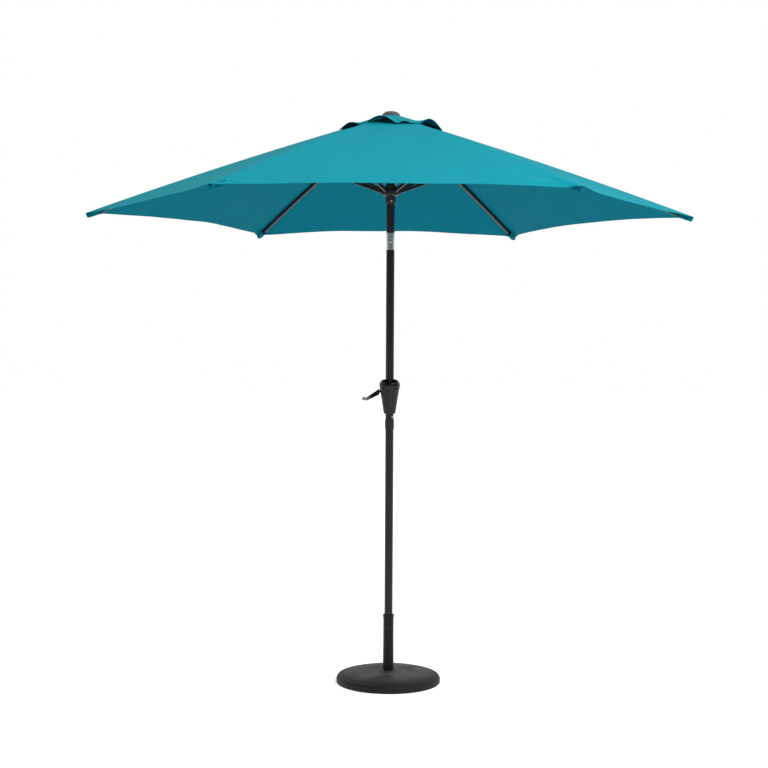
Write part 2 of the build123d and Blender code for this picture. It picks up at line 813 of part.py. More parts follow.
with BuildPart() as runner:
    with BuildSketch(side_view):
        with BuildLine():
            bore = pole_radius + slide_gap
            Polyline(
                (bore, runner_height - runner_tail_drop),
                (runner_tail_radius, runner_height - runner_tail_drop),
                (runner_sleeve_radius, runner_height - runner_sleeve_drop),
                (runner_sleeve_radius, runner_height - runner_floor - runner_edge),
                (runner_radius - runner_edge, runner_height - runner_floor),
                (runner_radius, runner_height - runner_floor + runner_side),
                (runner_radius, runner_height + runner_crown - runner_side),
                (runner_radius - runner_edge, runner_height + runner_crown),
                (runner_collar_radius, runner_height + runner_crown),
                (runner_collar_radius, runner_height + runner_collar_top),
                (bore, runner_height + runner_collar_top),
                close=True,
            )
        make_face()
    revolve(axis=Axis.Z)
    with BuildSketch(Plane.XY.offset(runner_height - strut_depth / 2 - 3 * slot_gap)):
        with PolarLocations(runner_radius, rib_count):
            Rectangle(
                2 * (runner_radius - hinge_circle + strut_depth / 2 + slot_gap),
                strut_width + 2 * slot_gap,
            )
    extrude(amount=2 * runner_collar_top, mode=Mode.SUBTRACT)
    with Locations((0, 0, runner_height)):
        Torus(hinge_circle, ring_wire_radius + fit_gap, mode=Mode.SUBTRACT)
save(runner.part, "runner")

with BuildPart() as runner_ring:
    with Locations((0, 0, runner_height)):
        Torus(hinge_circle, ring_wire_radius)
save(runner_ring.part, "runner_ring")

# ---------------------------------------------------------------- ribs


def rib_outline(half_depth, start, end):
    """The rib seen from the side, between two stations along it; round at the hub end."""
    with BuildSketch(rib_plane) as outline:
        with BuildLine():
            half = rib_length / 2
            bottom = ThreePointArc((0, -half_depth), (half, rib_bow - half_depth), (rib_length, -half_depth))
            top = ThreePointArc((rib_length, half_depth), (half, rib_bow + half_depth), (0, half_depth))
            Line(bottom @ 1, top @ 0)
            ThreePointArc(top @ 1, (-half_depth, 0), bottom @ 0)
        make_face()
        with Locations(((start + end) / 2, 0)):
            Rectangle(end - start, 4 * (rib_depth + rib_bow), mode=Mode.INTERSECT)
    return outline.sketch


with BuildPart() as rib:
    extrude(rib_outline(rib_depth / 2, -rib_depth, rib_length), amount=rib_width / 2, both=True)
    long_edges = rib.edges().filter_by(lambda edge: edge.length > rib_length / 2)
    fillet(long_edges, rib_edge)
    extrude(
        rib_outline(rib_depth / 2 - rib_wall, root_length, rib_length + 1),
        amount=rib_width / 2 - rib_wall,
        both=True,
        mode=Mode.SUBTRACT,
    )
    with BuildSketch(rib_plane):
        Circle(ring_hole_radius)
    extrude(amount=rib_width, both=True, mode=Mode.SUBTRACT)
save_ring(rib.part, "rib")

tip_width = rib_width + 2 * tip_border
end_plane = Plane(
    origin=rib_plane.from_local_coords((rib_length, 0)),
    x_dir=(0, 1, 0),
    z_dir=rib_plane.x_dir,
)

with BuildPart() as rib_tip:
    with BuildSketch(end_plane.offset(fit_gap)):
        RectangleRounded(tip_width, rib_depth, 2 * rib_edge)
    extrude(amount=tip_reach - fit_gap)
    fillet(rib_tip.faces().sort_by(Axis.X)[-1].edges(), rib_edge)
    with BuildSketch(end_plane.offset(fit_gap)):
        Rectangle(rib_width - 2 * rib_wall - plug_side_gap, rib_depth - 2 * rib_wall - plug_bow_gap)
    extrude(amount=-tip_plug)
save_ring(rib_tip.part, "rib_tip")

web_top = rib_rise(pin_station - bracket_length / 2) - rib_depth / 2 - fit_gap
bracket_half_width = rib_width / 2 + fit_gap + bracket_wall
bracket_bottom = pin_offset - strut_depth / 2
bracket_top = rib_rise(pin_station) + rib_depth / 4

with BuildPart() as rib_joint:
    with BuildSketch(rib_plane):
        with Locations((pin_station, (bracket_top + bracket_bottom) / 2)):
            RectangleRounded(bracket_length, bracket_top - bracket_bottom, bracket_edge)
    extrude(amount=bracket_half_width, both=True)
    with BuildSketch(rib_plane):
        with Locations((pin_station, (web_top + 2 * rib_depth) / 2)):
            Rectangle(bracket_length + 1, 2 * rib_depth - web_top)
        with Locations((pin_station, (web_top - bracket_wall - 2 * rib_depth) / 2 - rib_depth / 2)):
            Rectangle(bracket_length + 1, 2 * rib_depth + web_top - bracket_wall + rib_depth)
    extrude(amount=bracket_half_width - bracket_wall, both=True, mode=Mode.SUBTRACT)
    with BuildSketch(rib_plane):
        with Locations((pin_station, pin_offset)):
            Circle(pin_radius)
    extrude(amount=bracket_half_width + fit_gap, both=True)
    for side in (-1, 1):
        with BuildSketch(rib_plane.offset(side * bracket_half_width)):
            with Locations((pin_station, pin_offset)):
                Circle(rivet_radius)
        extrude(amount=side * rivet_height)
save_ring(rib_joint.part, "rib_joint")

# ---------------------------------------------------------------- struts

pin_place = rib_plane.from_local_coords((pin_station, pin_offset))
strut_run = Vector(hinge_circle, 0, runner_height) - pin_place
strut_plane = Plane(origin=pin_place, x_dir=strut_run, z_dir=(0, -1, 0))
solid_end = 2 * strut_depth

with BuildPart() as strut:
    with BuildSketch(strut_plane):
        with Locations((strut_length / 2, 0)):
            SlotCenterToCenter(strut_length, strut_depth)
    extrude(amount=strut_width / 2, both=True)
    fillet(strut.edges().filter_by(lambda edge: edge.length > strut_length / 2), strut_wall)
    with BuildSketch(strut_plane):
        with Locations((strut_length / 2, 0)):
            Rectangle(strut_length - 2 * solid_end, strut_depth - 2 * strut_wall)
    extrude(amount=strut_width / 2 - strut_wall, both=True, mode=Mode.SUBTRACT)
    with BuildSketch(strut_plane):
        Circle(pin_radius + pin_gap)
        with Locations((strut_length, 0)):
            Circle(ring_hole_radius)
    extrude(amount=strut_width, both=True, mode=Mode.SUBTRACT)
save_ring(strut.part, "strut")

# ---------------------------------------------------------------- canopy

corner_radius = hinge_circle + (rib_length + tip_reach) * cos(radians(rib_slope)) + hem_overhang
cloth_floor = hub_height + rib_depth / 2 + cloth_gap
half_sector = radians(sector - parting)
vent_rise = vent_lift + cloth_thickness
finial_floor = cloth_floor + 2 * cloth_thickness + 2 * layer_gap
vent_flat = finial_radius / cos(radians(sector)) + 1


def cloth_height(reach):
    """The underside of the main cloth over a rib, at a distance from the pole's axis."""
    run = max(reach - hinge_circle, 0) / cos(radians(rib_slope))
    drop = run * sin(radians(rib_slope)) - rib_rise(min(run, rib_length)) * cos(radians(rib_slope))
    lean = (rib_depth / 2 + cloth_gap) / cos(radians(rib_slope))
    return min(cloth_floor, hub_height + lean - drop)


def panel_height(reach, spread):
    """The same, spread 0 over a rib and 1 in the middle of a panel, where the cloth sags."""
    return cloth_height(reach) - spread * panel_sag * max(reach - hinge_circle, 0) / corner_radius


def cloth_section(angle, points):
    """A thin strip of cloth in the upright plane at one angle, from its underside's points."""
    inner, knee, middle, outer = points
    with BuildSketch(radial_plane(angle)) as strip:
        with BuildLine():
            Polyline(inner, knee)
            ThreePointArc(knee, middle, outer)
            lifted = [(reach, height + cloth_thickness) for reach, height in points]
            Line(outer, lifted[3])
            ThreePointArc(lifted[3], lifted[2], lifted[1])
            Polyline(lifted[1], lifted[0], inner)
        make_face()
    return strip.sketch


def main_points(spread):
    """The main cloth's underside, from the vent opening out, along a rib or along a panel's middle."""
    narrow = 1 - spread * (1 - cos(radians(sector)))
    rim = corner_radius - spread * hem_scoop / cos(radians(sector))
    start = vent_opening + opening_border
    reaches = (vent_opening, start, (start + rim) / 2, rim)
    return [(narrow * reach, panel_height(reach, spread)) for reach in reaches]


def vent_points(spread):
    """The vent cap's underside: flat under the finial, then down to its own arched hem."""
    narrow = 1 - spread * (1 - cos(radians(sector)))
    crown = cloth_floor + cloth_thickness + layer_gap
    hem = panel_height(vent_reach, spread) + vent_rise + spread * vent_arch
    middle = (vent_flat + vent_reach) / 2
    return [
        (narrow * canopy_eye, crown),
        (narrow * vent_flat, crown),
        (narrow * middle, (crown + hem) / 2 + vent_sag),
        (narrow * (vent_reach - spread * vent_sag), hem),
    ]


with BuildPart() as canopy:
    for layer in (main_points, vent_points):
        for side in (-1, 1):
            loft(
                sections=[
                    cloth_section(0, layer(0)),
                    cloth_section(side * (sector - parting), layer(1)),
                ],
                ruled=True,
            )
    with BuildSketch(Plane.XY.offset(cloth_floor)):
        RegularPolygon(patch_reach, rib_count)
        Circle(canopy_eye, mode=Mode.SUBTRACT)
        with BuildLine():
            Polyline(
                (0, 0),
                2 * patch_reach * Vector(cos(half_sector), -sin(half_sector)),
                2 * patch_reach * Vector(cos(half_sector), sin(half_sector)),
                close=True,
            )
        make_face(mode=Mode.INTERSECT)
    extrude(amount=cloth_thickness)
save_ring(canopy.part, "canopy")

with BuildPart() as finial:
    with BuildSketch(side_view):
        with BuildLine():
            edge = Line((finial_radius, finial_floor), (finial_radius, finial_floor + finial_height / 5))
            dome = Spline(
                edge @ 1,
                (finial_radius * 0.62, finial_floor + finial_height * 0.9),
                (0, finial_floor + finial_height),
                tangents=[(-0.5, 1), (-1, 0)],
            )
            Line(dome @ 1, (0, finial_floor))
            Line((0, finial_floor), edge @ 0)
        make_face()
    revolve(axis=Axis.Z)
    with BuildSketch(Plane.XY.offset(finial_floor)):
        Circle(finial_bolt_radius)
    extrude(amount=hub_height - hub_drop / 2 - finial_floor)
save(finial.part, "finial")
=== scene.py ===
from math import atan2, cos, exp, pi, radians, sin

import bmesh
import bpy
from mathutils import Matrix, Vector, noise


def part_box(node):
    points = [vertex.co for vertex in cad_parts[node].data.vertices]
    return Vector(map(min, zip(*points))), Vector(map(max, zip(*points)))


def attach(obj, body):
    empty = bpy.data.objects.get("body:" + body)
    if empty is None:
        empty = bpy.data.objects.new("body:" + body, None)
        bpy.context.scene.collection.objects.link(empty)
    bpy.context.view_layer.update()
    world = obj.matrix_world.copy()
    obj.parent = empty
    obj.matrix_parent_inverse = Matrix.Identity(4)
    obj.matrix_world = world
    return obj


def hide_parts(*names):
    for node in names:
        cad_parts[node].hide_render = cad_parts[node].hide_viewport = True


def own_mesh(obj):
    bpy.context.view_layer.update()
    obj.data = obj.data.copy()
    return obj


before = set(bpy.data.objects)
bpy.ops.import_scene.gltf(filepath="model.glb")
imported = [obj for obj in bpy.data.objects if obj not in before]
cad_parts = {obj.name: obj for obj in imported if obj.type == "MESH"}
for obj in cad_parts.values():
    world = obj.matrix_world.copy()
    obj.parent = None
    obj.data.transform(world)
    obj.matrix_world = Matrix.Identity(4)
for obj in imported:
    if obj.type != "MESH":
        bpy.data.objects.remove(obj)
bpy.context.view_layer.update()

# ------------------------------------------------------------------ camera
# Stands six metres in front of the umbrella at breast height, and looks very slightly down.

camera_place = Vector((-0.112, -6.122, 1.480))
camera_turn, camera_pitch, camera_roll = radians(-0.815), radians(-1.590), radians(0.297)
camera = bpy.data.objects.new("camera", bpy.data.cameras.new("camera"))
camera.data.sensor_width = 36.0
camera.data.lens = 65.6
camera.matrix_world = (
    Matrix.Translation(camera_place)
    @ Matrix.Rotation(camera_turn, 4, "Z")
    @ Matrix.Rotation(radians(90) + camera_pitch, 4, "X")
    @ Matrix.Rotation(camera_roll, 4, "Z")
)
bpy.context.scene.collection.objects.link(camera)
bpy.context.scene.camera = camera

# ------------------------------------------------------------------ studio
# A white studio: an even white surround, one large soft lamp over the right shoulder, and a
# pale painted floor. The plain view transform keeps the surround white.

bpy.context.scene.view_settings.view_transform = "Standard"
bpy.context.scene.view_settings.look = "None"


def linear(hex_code):
    """An sRGB hex colour as the linear RGBA that the nodes take."""
    parts = [int(hex_code[i : i + 2], 16) / 255 for i in (0, 2, 4)]
    return (*[p / 12.92 if p <= 0.04045 else ((p + 0.055) / 1.055) ** 2.4 for p in parts], 1.0)


def add_node(tree, kind, inputs=None, **settings):
    """Adds a node with its settings. Each named input gets a value or another node's output."""
    made = tree.nodes.new(kind)
    for name, value in settings.items():
        setattr(made, name, value)
    for name, value in (inputs or {}).items():
        if isinstance(value, bpy.types.NodeSocket):
            tree.links.new(value, made.inputs[name])
        else:
            made.inputs[name].default_value = value
    return made


def new_finish(name, **sockets):
    """A material with one Principled shader, and its constant sockets set. Returns all three."""
    material = bpy.data.materials.new(name)
    material.use_nodes = True
    shader = material.node_tree.nodes["Principled BSDF"]
    for socket, value in sockets.items():
        shader.inputs[socket.replace("_", " ").title().replace("Ior", "IOR")].default_value = value
    return material, material.node_tree, shader


# The surround is bright behind and overhead, and dark flags stand round the camera, so that
# dark tubes keep a dark middle and bright edges. Seen straight on, it is plain white.
surround = bpy.data.worlds.new("white_surround")
surround.use_nodes = True
studio = surround.node_tree
aim = add_node(studio, "ShaderNodeTexCoord")
aim_parts = add_node(studio, "ShaderNodeSeparateXYZ", {"Vector": aim.outputs["Generated"]})
overhead = add_node(studio, "ShaderNodeMath", {0: aim_parts.outputs["Z"], 1: 0.9}, operation="MULTIPLY")
away_from_camera = add_node(studio, "ShaderNodeMath", {0: aim_parts.outputs["Y"], 1: overhead.outputs[0]})
flagged = add_node(
    studio,
    "ShaderNodeMapRange",
    {
        "Value": away_from_camera.outputs[0],
        "From Min": -0.45,
        "From Max": 0.45,
        "To Min": 0.14,
        "To Max": 1.0,
    },
)
lighting = studio.nodes["Background"]
lighting.inputs["Color"].default_value = linear("FFFFFF")
studio.links.new(flagged.outputs["Result"], lighting.inputs["Strength"])
backdrop = add_node(studio, "ShaderNodeBackground", {"Color": linear("FFFFFF"), "Strength": 1.0})
seen_directly = add_node(studio, "ShaderNodeLightPath")
surround_mix = add_node(
    studio,
    "ShaderNodeMixShader",
    {0: seen_directly.outputs["Is Camera Ray"], 1: lighting.outputs[0], 2: backdrop.outputs[0]},
)
studio.links.new(surround_mix.outputs[0], studio.nodes["World Output"].inputs["Surface"])
bpy.context.scene.world = surround

lamp = bpy.data.objects.new("softbox", bpy.data.lights.new("softbox", "AREA"))
lamp.data.shape = "RECTANGLE"
lamp.data.size, lamp.data.size_y = 2.6, 1.9
lamp.data.energy = 190.0
lamp_place, lamp_target = Vector((2.6, -3.6, 4.4)), Vector((0.1, 0.0, 1.9))
lamp.matrix_world = Matrix.Translation(lamp_place) @ (
    (lamp_target - lamp_place).to_track_quat("-Z", "Y").to_matrix().to_4x4()
)
bpy.context.scene.collection.objects.link(lamp)

floor_paint, floor_tree, floor_shader = new_finish(
    "matt_floor_paint",
    roughness=0.9,
    specular_ior_level=0.1,
    emission_color=linear("FFFFFF"),
    emission_strength=0.45,
)
floor_coords = add_node(floor_tree, "ShaderNodeTexCoord")
floor_mottle = add_node(
    floor_tree,
    "ShaderNodeTexNoise",
    {"Vector": floor_coords.outputs["Object"], "Scale": 0.6, "Detail": 2.0},
)
floor_tone = add_node(
    floor_tree,
    "ShaderNodeMix",
    {0: floor_mottle.outputs["Fac"], 6: linear("F2F2F2"), 7: linear("F6F6F6")},
    data_type="RGBA",
)
floor_tree.links.new(floor_tone.outputs[2], floor_shader.inputs["Base Color"])
floor_mesh = bmesh.new()
floor_half_width, floor_drop = 40.0, 0.0004
bmesh.ops.create_grid(floor_mesh, x_segments=2, y_segments=2, size=floor_half_width)
bmesh.ops.translate(floor_mesh, verts=floor_mesh.verts, vec=(0, 0, -floor_drop))
floor_data = bpy.data.meshes.new("floor")
floor_mesh.to_mesh(floor_data)
floor_mesh.free()
floor_data.materials.append(floor_paint)
floor = bpy.data.objects.new("floor", floor_data)
bpy.context.scene.collection.objects.link(floor)

# ------------------------------------------------------------------ canopy cloth
# Solution-dyed polyester, plain woven and coated inside, about 0.5 mm thick and drawn at
# 0.9 mm. Six panels are sewn together along the ribs with a felled seam, and each has a
# scooped, folded hem. The underside is duller, and painted darker than the face as shade.

hub_lowest, hub_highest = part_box("hub_ring")
hub_height = (hub_lowest.z + hub_highest.z) / 2
hinge_circle = hub_highest.x - (hub_highest.z - hub_lowest.z) / 2
rib_slope = radians(18.1)
rib_length = 1.341
rib_bow = 0.012
rib_half_depth = 0.009
stiff_corner = 0.06
sector = radians(30)
cloth_over_rib = 0.0022
cloth_thickness = 0.0009
fold_thickness = 0.0007
corner_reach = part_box("canopy_1")[1].x
hem_scoop = 0.080
panel_sag = 0.019
opening_reach = 0.150
hem_width = 0.016
seam_width = 0.008
seam_share = 0.1
blunt_corner = 0.013
corner_pull, hardest_pull = 0.0032, 0.0075
hardest_pulled = (6, -1)


def bow_at(run):
    """How far the bowed rib stands above its own chord."""
    share = min(max(run / rib_length, 0), 1)
    return 4 * rib_bow * share * (1 - share)


def rib_line(reach):
    """The height of the middle of the cloth over a rib, at a distance from the pole's axis."""
    run = (reach - hinge_circle) / cos(rib_slope)
    lift = (rib_half_depth + cloth_over_rib) / cos(rib_slope)
    return hub_height + lift - run * sin(rib_slope) + bow_at(run) * cos(rib_slope)


def eased(share):
    """0 to 1 with level ends."""
    share = min(max(share, 0), 1)
    return share * share * (3 - 2 * share)


def wrinkle(place, reach, from_rib, rib_number, side):
    """The unevenness of sewn, stretched cloth: puckers every 46 mm along the seam, folds that fan
    out from the corner, and slow waves in the middle. It is nothing on the rib itself. One half
    panel hangs in deeper folds than the others."""
    azimuth = radians(60 * (rib_number - 1))
    outward = Vector((cos(azimuth), sin(azimuth), 0))
    away = place - corner_reach * outward
    fanned = atan2(away.cross(outward).z, -away.dot(outward))
    pulled = hardest_pull if (rib_number, side) == hardest_pulled else corner_pull
    fan = pulled * exp(-((away.length / 0.17) ** 2)) * sin(13 * fanned + 2.1 * rib_number)
    fan *= eased(away.length / stiff_corner)
    pucker = 0.0010 * exp(-from_rib / 0.025) * sin(2 * pi * reach / 0.046 + 3 * noise.noise(place * 9))
    slow = 0.0040 * noise.noise(Vector((place.x * 3.1, place.y * 3.1, 4.7)))
    fine = 0.0010 * noise.noise(Vector((place.x * 11, place.y * 11, 1.3)))
    return eased(from_rib / 0.02) * (fan + pucker + (slow + fine) * eased(from_rib / 0.15))


def on_panel(rib_number, side, reach, across):
    """A point in plan: on the rib at across 0, in the panel's middle at across 1."""
    middle = radians(60 * (rib_number - 1)) + side * sector
    along, sideways = reach * cos(sector), side * reach * sin(sector) * (1 - across)
    return Vector((
        along * cos(middle) + sideways * sin(middle),
        along * sin(middle) - sideways * cos(middle),
        0,
    ))


def main_cloth(rib_number, side):
    """The two functions that sewn_shell needs for half a panel of the main cloth."""

    def measures(column, row):
        half_width = (opening_reach + (corner_reach - opening_reach) * row) * sin(sector)
        if column <= seam_share:
            from_rib = seam_width * column / seam_share
        else:
            from_rib = seam_width + (half_width - seam_width) * (column - seam_share) / (1 - seam_share)
        across = from_rib / half_width
        slack = across * (2 - across)
        blunt = from_rib / 2 * (1 - eased((from_rib - blunt_corner) / 0.03))
        rim = corner_reach - slack * hem_scoop / cos(sector) + blunt
        return from_rib, across, slack, rim, opening_reach + (rim - opening_reach) * row

    def place(column, row):
        from_rib, across, slack, rim, reach = measures(column, row)
        point = on_panel(rib_number, side, reach, across)
        sag = panel_sag * slack * (reach - hinge_circle) / corner_reach
        point.z = rib_line(reach) - sag + wrinkle(point, reach, from_rib, rib_number, side)
        return point

    def band(column, row):
        from_rib, across, slack, rim, reach = measures(column, row)
        from_hem = min(rim - reach, 1.6 * (reach - opening_reach))
        folded = 1 if from_rib < 0.93 * seam_width or from_hem < 0.95 * hem_width else 0
        width = reach * sin(sector) * (1 - across)
        return cloth_thickness + folded * fold_thickness, from_rib, from_hem, width, reach

    return place, band


def sewn_shell(name, columns, rows, place, band, finishes, turned=False):
    """A closed thin shell of cloth on a grid. place(column, row) gives its middle surface, and
    band(column, row) its thickness, its distances from the seam and from the hem, and where it
    was on the flat cut. Its faces take the surface's own normals, so that neighbouring pieces
    shade as one cloth. finishes are the outer and the inner one."""
    shell = bmesh.new()
    bmesh.ops.create_grid(shell, x_segments=len(columns) - 1, y_segments=len(rows) - 1, size=1)
    seam, hem = shell.verts.layers.float.new("seam"), shell.verts.layers.float.new("hem")
    width, length = shell.verts.layers.float.new("width"), shell.verts.layers.float.new("length")
    thick, facing = shell.verts.layers.float.new("thick"), shell.verts.layers.float_vector.new("facing")
    outer = shell.verts.layers.int.new("outer")
    step = 1e-3
    for vert in shell.verts:
        column = columns[round((vert.co.x + 1) / 2 * (len(columns) - 1))]
        row = rows[round((vert.co.y + 1) / 2 * (len(rows) - 1))]
        sideways = place(min(column + step, 1), row) - place(max(column - step, 0), row)
        outwards = place(column, min(row + step, 1)) - place(column, max(row - step, 0))
        up = outwards.cross(sideways).normalized() * (-1 if turned else 1)
        vert[thick], vert[seam], vert[hem], vert[width], vert[length] = band(column, row)
        vert[facing] = up
        vert.co = place(column, row) - up * vert[thick] / 2
    grown = bmesh.ops.extrude_face_region(shell, geom=shell.faces[:], use_keep_orig=True)
    for vert in grown["geom"]:
        if isinstance(vert, bmesh.types.BMVert):
            vert[outer] = 1
            vert.co += vert[facing] * vert[thick]
    bmesh.ops.recalc_face_normals(shell, faces=shell.faces)
    if shell.calc_volume(signed=True) < 0:
        bmesh.ops.reverse_faces(shell, faces=shell.faces)
    flat_cut = shell.loops.layers.uv.new("flat_cut")
    for face in shell.faces:
        face.smooth = True
        face.material_index = 0 if any(vert[outer] for vert in face.verts) else 1
        for loop in face.loops:
            loop[flat_cut].uv = (loop.vert[width], loop.vert[length])
    mesh = bpy.data.meshes.new(name)
    shell.to_mesh(mesh)
    shell.free()
    for finish in finishes:
        mesh.materials.append(finish)
    ups = [Vector(item.vector) for item in mesh.attributes["facing"].data]
    outs = [item.value for item in mesh.attributes["outer"].data]
    normals = []
    for face in mesh.polygons:
        layer = {outs[index] for index in face.vertices}
        for index in face.vertices:
            normals.append(face.normal if len(layer) == 2 else ups[index] * (1 if layer == {1} else -1))
    mesh.normals_split_custom_set([tuple(normal) for normal in normals])
    piece = bpy.data.objects.new(name, mesh)
    bpy.context.scene.collection.objects.link(piece)
    return piece


def cloth_finish(name, colour, shade, roughness):
    """Woven polyester: yarns every 0.5 mm, drawn every 2 mm so that they show at all, a little
    colour drift along the bolt, and two rows of lockstitch along the seams and the hem."""
    material, tree, shader = new_finish(name, roughness=roughness, specular_ior_level=0.03)
    cut = add_node(tree, "ShaderNodeUVMap", uv_map="flat_cut")
    drift = add_node(tree, "ShaderNodeTexNoise", {"Vector": cut.outputs["UV"], "Scale": 5.0, "Detail": 4.0})
    yarn = add_node(
        tree, "ShaderNodeTexNoise", {"Vector": cut.outputs["UV"], "Scale": 420.0, "Detail": 2.0}
    )
    toned = add_node(
        tree,
        "ShaderNodeMix",
        {0: drift.outputs["Fac"], 6: linear(shade), 7: linear(colour)},
        data_type="RGBA",
    )
    flecked = add_node(
        tree,
        "ShaderNodeMix",
        {0: 0.10, 6: toned.outputs[2], 7: yarn.outputs["Color"]},
        data_type="RGBA",
        blend_type="SOFT_LIGHT",
    )
    weft = add_node(
        tree, "ShaderNodeTexWave", {"Vector": cut.outputs["UV"], "Scale": 160.0}, bands_direction="X"
    )
    warp = add_node(
        tree, "ShaderNodeTexWave", {"Vector": cut.outputs["UV"], "Scale": 160.0}, bands_direction="Y"
    )
    weave = add_node(
        tree, "ShaderNodeMath", {0: weft.outputs["Fac"], 1: warp.outputs["Fac"]}, operation="MULTIPLY"
    )
    seam = add_node(tree, "ShaderNodeAttribute", attribute_name="seam")
    hem = add_node(tree, "ShaderNodeAttribute", attribute_name="hem")
    rows = [
        add_node(
            tree, "ShaderNodeMath", {0: edge.outputs["Fac"], 1: inset, 2: 0.0007}, operation="COMPARE"
        )
        for edge, inset in ((seam, 0.0022), (seam, 0.0062), (hem, 0.0028), (hem, 0.0128))
    ]
    stitched = rows[0]
    for row in rows[1:]:
        stitched = add_node(
            tree, "ShaderNodeMath", {0: stitched.outputs[0], 1: row.outputs[0]}, operation="MAXIMUM"
        )
    sewn = add_node(
        tree,
        "ShaderNodeMix",
        {0: stitched.outputs[0], 6: flecked.outputs[2], 7: linear(shade)},
        data_type="RGBA",
    )
    relief = add_node(
        tree, "ShaderNodeMath", {0: weave.outputs[0], 1: stitched.outputs[0]}, operation="SUBTRACT"
    )
    bump = add_node(
        tree, "ShaderNodeBump", {"Strength": 0.25, "Distance": 0.0004, "Height": relief.outputs[0]}
    )
    tree.links.new(sewn.outputs[2], shader.inputs["Base Color"])
    tree.links.new(bump.outputs["Normal"], shader.inputs["Normal"])
    return material


cloth_face = cloth_finish("teal_polyester", "128F9E", "0D8594", 0.75)
# The lining is the face's teal painted darker: painted shade under the canopy.
cloth_lining_painted_shade = cloth_finish("teal_lining_painted_shade", "016576", "015B6B", 0.85)
# Rows stand close together at both ends of a half panel, where its folded edge steps down.
fold_start, fold_end = 0.0088, 0.9848
half_columns = [0, 0.45 * seam_share, 0.92 * seam_share, seam_share]
half_columns += [seam_share + (1 - seam_share) * step / 34 for step in range(1, 35)]
half_rows = [0, 0.0008, 0.0080, fold_start]
half_rows += [fold_start + (fold_end - fold_start) * step / 80 for step in range(1, 80)]
half_rows += [fold_end, 0.9858, 0.9930, 0.9992, 1]
halves = {}
for rib_number in range(1, 7):
    for side, hand in ((1, "left"), (-1, "right")):
        place, band = main_cloth(rib_number, side)
        half = sewn_shell(
            f"cloth_{rib_number}_{hand}", half_columns, half_rows, place, band,
            (cloth_face, cloth_lining_painted_shade), turned=side < 0,
        )
        halves[rib_number, side] = half
        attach(half, f"rib_arm_{rib_number}")
        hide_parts(f"canopy_{rib_number}")
        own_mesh(half)

# ------------------------------------------------------------------ vent cap
# A small hexagon of the same cloth over the vent opening. It is clamped under the finial and
# sewn down at its six corners, and its hem stands open in arches that let the wind out.

cap_eye = 0.012
cap_flat = 0.0466
cap_reach = 0.225
cap_under_finial = 0.0012
cap_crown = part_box("canopy_1")[1].z - cap_under_finial
cap_over_cloth = 0.0036
cap_bulge = 0.003
cap_hem = 0.009
arches = {  # for each panel's middle: how near the hem it lifts, how deep its middle lies, and
    # for each arch where along the hem it is, half its width, and how high it stands
    30: (2.2, 0.0035, ((0.10, 0.90, 0.018),)),
    90: (2.0, 0.0020, ((-0.20, 0.80, 0.020),)),
    150: (2.2, 0.0035, ((0.15, 0.85, 0.016),)),
    210: (2.4, 0.0038, ((-0.20, 0.80, 0.019),)),
    270: (1.3, 0.0, ((-0.42, 0.60, 0.031), (0.48, 0.24, 0.009))),
    330: (2.4, 0.0038, ((0.02, 0.98, 0.033),)),
}


def vent_cap(rib_number, side):
    """The two functions that sewn_shell needs for half a panel of the vent cap."""
    arch_power = 1.2
    lip, dip, panel_arches = arches[(60 * (rib_number - 1) + side * 30) % 360]

    def place(column, row):
        reach = cap_eye + (cap_reach - cap_eye) * row
        fall = min(max((reach - cap_flat) / (cap_reach - cap_flat), 0), 1)
        point = on_panel(rib_number, side, reach, column)
        at_hem = -side * (1 - column)
        arch = sum(
            height * cos(pi / 2 * min(abs(at_hem - centre) / half_width, 1)) ** arch_power
            for centre, half_width, height in panel_arches
        )
        hem = rib_line(cap_reach) + cap_over_cloth
        bulge = cap_bulge - (cap_bulge + dip) * eased(column / 0.5)
        point.z = cap_crown + (hem - cap_crown) * fall + 4 * bulge * fall * (1 - fall)
        point.z += arch * eased(column / 0.12) * fall**lip
        return point

    def band(column, row):
        reach = cap_eye + (cap_reach - cap_eye) * row
        from_rib, from_hem = column * reach * sin(sector), cap_reach - reach
        folded = 1 if from_hem < cap_hem else 0
        thickness = cloth_thickness + folded * fold_thickness
        return thickness, from_rib, from_hem, reach * sin(sector) * (1 - column), reach

    return place, band


cap_columns = [step / 16 for step in range(17)]
cap_rows = [step / 20 * 0.955 for step in range(20)] + [0.955, 0.961, 0.98, 0.997, 1]
for (rib_number, side), half in halves.items():
    place, band = vent_cap(rib_number, side)
    cap = sewn_shell(
        f"vent_cap_{rib_number}_{'left' if side > 0 else 'right'}", cap_columns, cap_rows, place, band,
        (cloth_face, cloth_lining_painted_shade), turned=side < 0,
    )
    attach(cap, f"rib_arm_{rib_number}")
    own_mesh(cap)

# ------------------------------------------------------------------ rib pockets
# A tapered patch of the same cloth is sewn under each corner and leaves a sleeve 66 mm long,
# open towards the hub. The rib's end cap is pushed into it and holds the corner out.

pocket_length = 0.066
pocket_mouth = 0.026
pocket_end = 0.0112
sleeve_half_width = 0.0082
sleeve_depth = 0.0208
end_wall = 0.0026
end_inset = 0.0012


